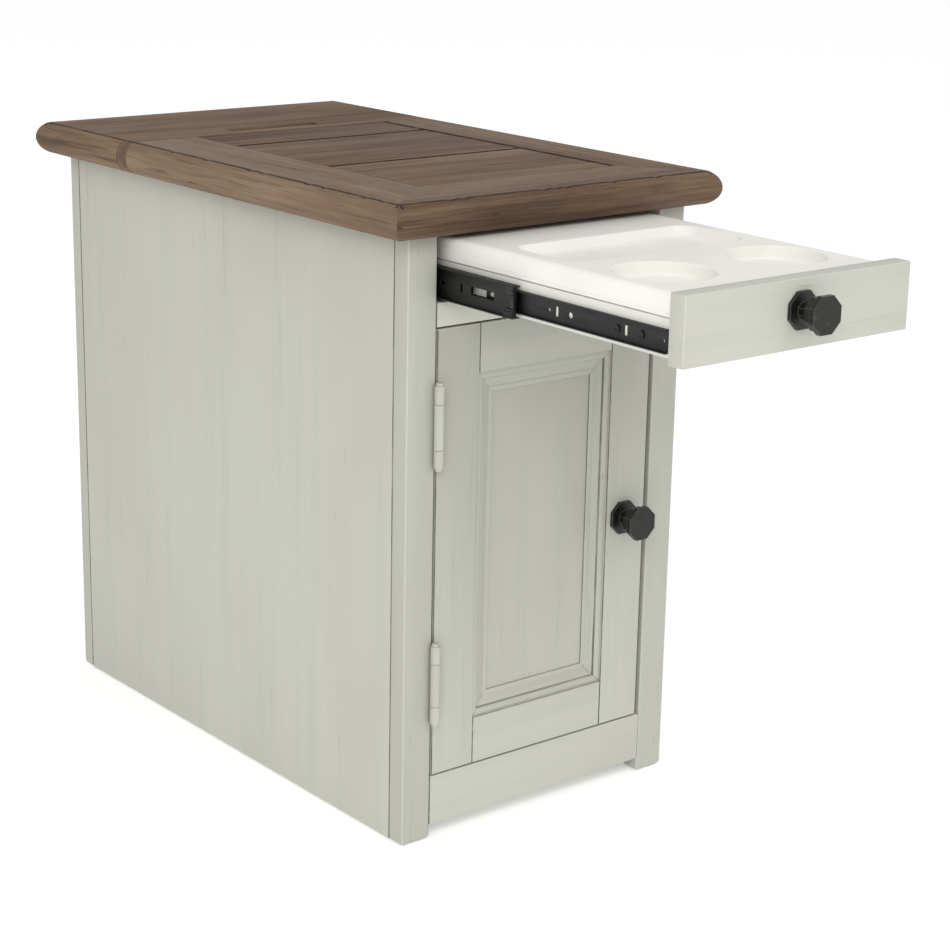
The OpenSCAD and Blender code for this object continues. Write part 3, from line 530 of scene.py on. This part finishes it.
def makeInsert():
    low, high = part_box("tray_insert")
    top, rim = high.z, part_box("tray_side_left")[1].z
    bm = bmesh.new()
    edges = []
    # rounded skirt
    side, end, corner = insert["sideRound"], insert["endRound"], insert["corner"]
    rings = [(roundedPoints(low.x + side + 0.001, low.y + end + 0.001, high.x - side - 0.001,
                            high.y - end - 0.001, corner), top)]
    for t in quarter(8):
        ins, ine = side * (1 - math.sin(t)), end * (1 - math.sin(t))
        rings.append((roundedPoints(low.x + ins, low.y + ine, high.x - ins, high.y - ine, corner),
                      top - side * (1 - math.cos(t))))
    # straight down to a thin groove, then the flange that lies on the side boards
    for inset, z in ((0, top - side - 0.0006), (0, rim + insert["flange"] + 0.0012),
                     (0.0005, rim + insert["flange"] + 0.0008), (0.0005, rim + insert["flange"]),
                     (0, rim + insert["flange"] - 0.0004), (0, rim + 0.0006), (0.0005, rim + 0.0002)):
        rings.append((roundedPoints(low.x + inset, low.y + inset, high.x - inset, high.y - inset, corner), z))
    edges += makeWall(bm, rings)
    # cups: rounded lip, slightly tapered wall, rounded foot
    lip, radius, taper = insert["lip"], insert["cupRadius"], insert["cupTaper"]
    bottom = top - insert["cupDepth"]
    for x in (-insert["cupX"], insert["cupX"]):
        rings = [(circlePoints(x, insert["cupY"], radius + lip + 0.0008), top)]
        rings += [(circlePoints(x, insert["cupY"], radius + lip * (1 - math.sin(t))),
                   top - lip * (1 - math.cos(t))) for t in quarter()]
        foot = insert["foot"]
        rings += [(circlePoints(x, insert["cupY"], radius - taper - foot * (1 - math.cos(t))),
                   bottom + foot * (1 - math.sin(t))) for t in quarter()]
        edges += makeWall(bm, rings, True)
    # recess with sloping walls
    x0, y0, x1, y1 = insert["recess"]
    slope, deep, corner, ease = insert["recessSlope"], insert["recessDepth"], insert["recessCorner"], 0.002
    rings = [(roundedPoints(x0 - 0.001, y0 - 0.001, x1 + 0.001, y1 + 0.001, corner + 0.001), top)]
    for ins, drop in ((0, 0), (0.0006, 0.0004), (0.0012, 0.0013), (slope, deep - 0.0016),
                      (slope + 0.0008, deep - 0.0005), (slope + 0.0024, deep)):
        rings.append((roundedPoints(x0 + ins, y0 + ins, x1 - ins, y1 - ins, corner - ins * 0.4), top - drop))
    edges += makeWall(bm, rings, True)
    bmesh.ops.triangle_fill(bm, use_beauty=True, use_dissolve=False, edges=edges, normal=(0, 0, 1))
    bmesh.ops.recalc_face_normals(bm, faces=bm.faces)
    if sum(f.normal.z * f.calc_area() for f in bm.faces) < 0:
        bmesh.ops.reverse_faces(bm, faces=bm.faces)
    piece = finishPiece(bm, "trayInsert", insertPlastic, ["tray_insert"], axis=1, slot="tray_insert")
    wall = piece.modifiers.new("wall", "SOLIDIFY")
    wall.thickness = insert["wall"]
    wall.offset = -1
    return piece


makeInsert()
print("insert made")


slides = {"ease": 0.0003, "tab": (-0.3808, -0.3654), "tabHeight": 0.0088, "tabHole": (0.003, 0.0022),
          "tabEase": 0.0001, "guideEase": 0.0005, "guideFace": (0.0008, 0.0025),
          "guideBlocks": ((-0.0125, -0.0065, 0.012), (0.0065, 0.0125, 0.012), (-0.0060, 0.0060, 0.005))}


def makeBlock(bm, low, high, ease=0.0003):
    made = bmesh.ops.create_cube(bm, size=1)
    for v in made["verts"]:
        v.co = Vector(((low[i] + high[i]) / 2 + v.co[i] * (high[i] - low[i]) for i in range(3)))
    bmesh.ops.bevel(bm, geom=list({e for v in made["verts"] for e in v.link_edges}), offset=ease,
                    offset_type="OFFSET", segments=2, profile=0.5, affect="EDGES", clamp_overlap=True,
                    material=-1)


for nodeName in ("fixed_slide_left", "fixed_slide_right", "mid_slide_left", "mid_slide_right",
                 "tray_slide_left", "tray_slide_right"):
    makeBoard(nodeName, slideSteel, 1, slides["ease"], joint=0, free=0, slot="slide_steel")

# plastic guide in the mouth of each middle channel
for nodeName, sign in (("mid_slide_left", -1), ("mid_slide_right", 1)):
    low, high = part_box(nodeName)
    web = (low.x + high.x) / 2
    middle = (low.z + high.z) / 2
    bm = bmesh.new()
    xs = sorted(web + sign * x for x in slides["guideFace"])
    for z0, z1, reach in slides["guideBlocks"]:
        makeBlock(bm, (xs[0], low.y + 0.0006, middle + z0), (xs[1], low.y + reach, middle + z1),
                  slides["guideEase"])
    finishPiece(bm, nodeName + "_guide", blackPlastic, body=bodyOfNode[nodeName], axis=1)

# tab with a hole, seen through the window of the middle channel
for nodeName, sign in (("tray_slide_left", -1), ("tray_slide_right", 1)):
    low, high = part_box(nodeName)
    web = high.x if sign < 0 else low.x
    middle = (low.z + high.z) / 2
    y0, y1 = slides["tab"]
    bm = bmesh.new()
    wide, tall = slides["tabHole"]
    yMid, half = (y0 + y1) / 2, slides["tabHeight"] / 2
    for box in (((y0, -half), (yMid - wide, half)), ((yMid + wide, -half), (y1, half)),
                ((yMid - wide, -half), (yMid + wide, -tall)), ((yMid - wide, tall), (yMid + wide, half))):
        (ya, za), (yb, zb) = box
        xs = sorted((web + sign * 0.0002, web + sign * 0.0011))
        makeBlock(bm, (xs[0], ya, middle + za), (xs[1], yb, middle + zb), slides["tabEase"])
    finishPiece(bm, nodeName + "_tab", slideSteel, body=bodyOfNode[nodeName], axis=1)


screwHead = {"edge": 0.0004, "crown": 0.00025, "rim": 0.0014, "bore": 0.0003, "recess": 0.0008}


def makeScrews():
    bm = copyOfNode("slide_screws")
    caps = [f for f in bm.faces if len(f.verts) > 12 and abs(f.normal.x) > 0.9
            and (f.normal.x < 0) == (f.calc_center_median().x < 0)]
    for cap in caps:
        normal = cap.normal.copy()
        bmesh.ops.inset_individual(bm, faces=[cap], thickness=screwHead["edge"])
        bmesh.ops.translate(bm, verts=cap.verts[:], vec=normal * screwHead["crown"])
        bmesh.ops.inset_individual(bm, faces=[cap], thickness=screwHead["rim"])
        bmesh.ops.inset_individual(bm, faces=[cap], thickness=screwHead["bore"])
        bmesh.ops.translate(bm, verts=cap.verts[:], vec=-normal * screwHead["recess"])
    finishPiece(bm, "slideScrews", knobIron, ["slide_screws"], axis=1, slot="screws")


makeScrews()
print("slides made")


hardware = {"knobEase": 0.0005}
# the knobs' free edges are painted light: a painted highlight standing in for the glint on their facet edges
for nodeName in ("tray_knob", "door_knob"):
    makeBoard(nodeName, knobIron, 1, hardware["knobEase"], minAngle=7, joint=0, free=0.8, smoothAngle=5,
              slot="knob_metal")
for nodeName, material, ease, slot in (
        ("lid_hinge_fixed", slideSteel, 0.0003, "lid_hinge"),
        ("lid_hinge_moving", slideSteel, 0.0003, "lid_hinge"),
        ("strike_plate", zincSteel, 0.0002, "strike_plate"), ("door_catch", palePlastic, 0.0008, "catch"),
        ("charging_block", blackPlastic, 0.001, "charging_block"),
        ("charging_face", blackPlastic, 0.0003, "charging_face"),
        ("cord_grommet", blackPlastic, 0.0005, "grommet")):
    makeBoard(nodeName, material, 0, ease, joint=0, free=0, slot=slot)
print("hardware made")


studio = {
    "cameraAt": (-1.3980, -1.9213, 0.9701), "turn": -39.06, "tilt": 16.26, "roll": 1.17, "lens": 86.43,
    "floor": srgb(252, 252, 251), "sky": 0.70, "keyPower": 68, "fillPower": 27,
}


def makeStage():
    bm = bmesh.new()
    bmesh.ops.create_grid(bm, x_segments=1, y_segments=1, size=30)
    mesh = bpy.data.meshes.new("floor")
    bm.to_mesh(mesh)
    bm.free()
    floor = bpy.data.objects.new("floor", mesh)
    material, tree, shader = newMaterial("floorPaper")
    shader.inputs["Base Color"].default_value = studio["floor"]
    shader.inputs["Roughness"].default_value = 0.9
    shader.inputs["Specular IOR Level"].default_value = 0.1
    shader.inputs["Emission Color"].default_value = (1, 1, 1, 1)
    shader.inputs["Emission Strength"].default_value = 0.3
    mesh.materials.append(material)
    bpy.context.scene.collection.objects.link(floor)


def makeLight(name, place, aim, size, power):
    data = bpy.data.lights.new(name, "AREA")
    data.shape = "DISK"
    data.size = size
    data.energy = power
    light = bpy.data.objects.new(name, data)
    light.location = place
    light.rotation_mode = "QUATERNION"
    light.rotation_quaternion = (Vector(aim) - Vector(place)).to_track_quat("-Z", "Y")
    bpy.context.scene.collection.objects.link(light)


def makeCamera():
    data = bpy.data.cameras.new("camera")
    data.lens = studio["lens"]
    data.sensor_width = 36
    data.clip_start = 0.05
    data.clip_end = 100
    camera = bpy.data.objects.new("camera", data)
    turn, tilt = math.radians(studio["turn"]), math.radians(studio["tilt"])
    back = Vector((math.sin(turn) * math.cos(tilt), -math.cos(turn) * math.cos(tilt), math.sin(tilt)))
    camera.rotation_mode = "QUATERNION"
    camera.location = studio["cameraAt"]
    level = (-back).to_track_quat("-Z", "Y")
    camera.rotation_quaternion = level @ Quaternion((0, 0, 1), math.radians(studio["roll"]))
    bpy.context.scene.collection.objects.link(camera)
    bpy.context.scene.camera = camera


def makeSky():
    world = bpy.data.worlds.new("studio")
    world.use_nodes = True
    tree = world.node_tree
    lit = tree.nodes["Background"]
    lit.inputs["Color"].default_value = (1, 1, 1, 1)
    lit.inputs["Strength"].default_value = studio["sky"]
    seen = addNode(tree, "Background", None, {"Color": (1, 1, 1, 1), "Strength": 1.0})
    ray = addNode(tree, "LightPath")
    isSeen = ray.outputs["Is Camera Ray"]
    both = addNode(tree, "MixShader", None, {0: isSeen, 1: lit.outputs[0], 2: seen.outputs[0]})
    tree.links.new(both.outputs[0], tree.nodes["World Output"].inputs["Surface"])
    bpy.context.scene.world = world


makeStage()
makeSky()
makeLight("key", (-3.2, -3.2, 3.2), (0, 0, 0.35), 2.6, studio["keyPower"])
makeLight("fill", (0.4, -3.2, 3.7), (0, 0, 0.3), 1.8, studio["fillPower"])
makeCamera()
bpy.context.scene.view_settings.view_transform = "Standard"
print("stage set")

bpy.context.view_layer.update()
